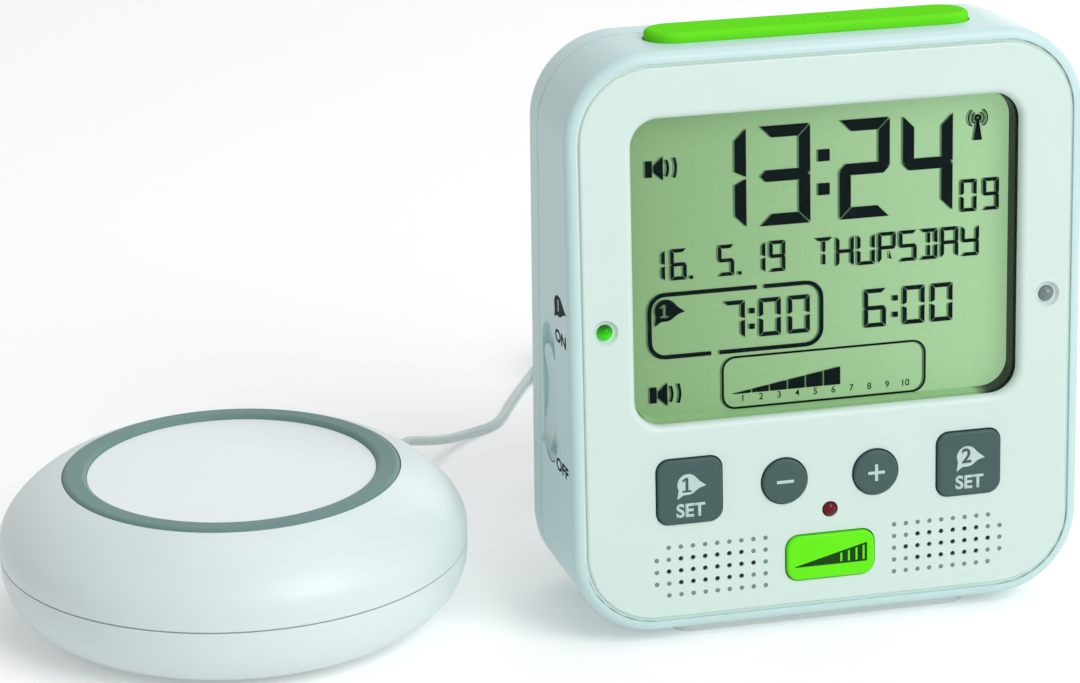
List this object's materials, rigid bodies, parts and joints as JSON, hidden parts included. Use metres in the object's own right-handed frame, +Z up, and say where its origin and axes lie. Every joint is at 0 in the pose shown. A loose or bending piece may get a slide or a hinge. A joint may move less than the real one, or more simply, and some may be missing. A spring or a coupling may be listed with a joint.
{
  "type": "bed shaker alarm clock",
  "caption": "Upright table alarm clock with a display window, front buttons and a top snooze bar, joined by a cord to a round lens-shaped vibration pad for the bed.",
  "frame": {"origin": "on the table, at the middle of the clock's foot", "axes": "+X to the right along the clock's face, +Y from the face to the back, +Z up"},
  "size_m": [0.2154, 0.1808, 0.1212],
  "materials": {
    "face_plastic": "fine satin, pale mint",
    "case_plastic": "satin paint, pale blue-green",
    "back_plastic": "satin, pale blue-green",
    "lens": "clear polished window",
    "display": "grey-green liquid crystal panel",
    "light_guide": "white light guide",
    "black_plastic": "black moulding",
    "board": "green laminate",
    "rubber_strip": "pink contact rubber",
    "metal": "plated steel",
    "contact_metal": "nickel-plated spring steel",
    "cell": "wrapped cell jacket",
    "key_plastic": "satin dark grey-green",
    "green_plastic": "bright green, slightly glossy",
    "red_lens": "dark red lens",
    "green_lens": "bright green lens",
    "clear_lens": "clear lens",
    "speaker": "speaker basket and magnet",
    "ferrite": "dark ferrite",
    "copper": "lacquered winding",
    "foot_rubber": "soft foot",
    "pad_plastic": "satin, pale mint",
    "pad_ring_plastic": "satin grey-green",
    "brass": "machined weight",
    "cord": "pale grey-green cord"
  },
  "bodies": {
    "base": {"aerial_clips": "black_plastic", "aerial_rod": "ferrite", "aerial_winding": "copper", "alarm_lamp": "red_lens", "back_cover": "back_plastic", "battery_cells": "cell", "battery_contacts": "contact_metal", "battery_tray": "black_plastic", "case_screws": "metal", "clock_foot": "foot_rubber", "cord_coil": "cord", "cord_lead": "cord", "cord_plug": "cord", "cord_relief": "cord", "cord_run": "cord", "cord_tie": "black_plastic", "display_connector_strips": "rubber_strip", "display_frame": "black_plastic", "display_glass": "display", "display_light_panel": "light_guide", "display_mask": "black_plastic", "front_panel": "face_plastic", "left_speaker": "speaker", "light_sensor": "clear_lens", "main_board": "board", "main_housing": "case_plastic", "motor_can": "metal", "motor_clamp": "black_plastic", "motor_cradle": "black_plastic", "pad_base_shell": "pad_plastic", "pad_disc": "face_plastic", "pad_foot_ring": "foot_rubber", "pad_ring": "pad_ring_plastic", "pad_screws": "metal", "pad_top_shell": "pad_plastic", "power_socket": "black_plastic", "right_speaker": "speaker", "shaker_socket": "black_plastic", "signal_lamp": "green_lens", "slide_switches": "metal", "snooze_board": "board", "tact_switches": "black_plastic", "window_lens": "lens"},
    "snooze": {"snooze_bar": "green_plastic"},
    "set_1": {"set_1_button": "key_plastic"},
    "set_2": {"set_2_button": "key_plastic"},
    "minus": {"minus_button": "key_plastic"},
    "plus": {"plus_button": "key_plastic"},
    "level": {"level_button": "green_plastic"},
    "alarm_1": {"alarm_1_slider": "case_plastic"},
    "alarm_2": {"alarm_2_slider": "case_plastic"},
    "door": {"battery_door": "back_plastic"},
    "rotor": {"motor_shaft": "metal", "eccentric_weight": "brass"}
  },
  "joints": [
    {"name": "snooze_press", "type": "slide", "parent": "base", "child": "snooze", "axis": [0, -0.061, -0.9981], "range_m": [0, 0.0012], "stiffness_N_per_m": 800, "springref_m": -0.001},
    {"name": "set_1_press", "type": "slide", "parent": "base", "child": "set_1", "axis": [0, 0.9981, -0.061], "range_m": [0, 0.0006], "stiffness_N_per_m": 500, "springref_m": -0.0005},
    {"name": "set_2_press", "type": "slide", "parent": "base", "child": "set_2", "axis": [0, 0.9981, -0.061], "range_m": [0, 0.0006], "stiffness_N_per_m": 500, "springref_m": -0.0005},
    {"name": "minus_press", "type": "slide", "parent": "base", "child": "minus", "axis": [0, 0.9981, -0.061], "range_m": [0, 0.0006], "stiffness_N_per_m": 500, "springref_m": -0.0005},
    {"name": "plus_press", "type": "slide", "parent": "base", "child": "plus", "axis": [0, 0.9981, -0.061], "range_m": [0, 0.0006], "stiffness_N_per_m": 500, "springref_m": -0.0005},
    {"name": "level_press", "type": "slide", "parent": "base", "child": "level", "axis": [0, 0.9981, -0.061], "range_m": [0, 0.0006], "stiffness_N_per_m": 500, "springref_m": -0.0005},
    {"name": "alarm_1_slide", "type": "slide", "parent": "base", "child": "alarm_1", "axis": [0, 0.061, 0.9981], "range_m": [0, 0.0042]},
    {"name": "alarm_2_slide", "type": "slide", "parent": "base", "child": "alarm_2", "axis": [0, 0.061, 0.9981], "range_m": [0, 0.0042]},
    {"name": "battery_door_hinge", "type": "hinge", "parent": "base", "child": "door", "pos_m": [0, 0.0189, 0.0149], "axis": [-1, 0, 0], "range_deg": [0, 88]},
    {"name": "rotor_spin", "type": "hinge", "parent": "base", "child": "rotor", "pos_m": [-0.1027, 0.0204, 0.015], "axis": [1, 0, 0], "continuous": true}
  ]
}
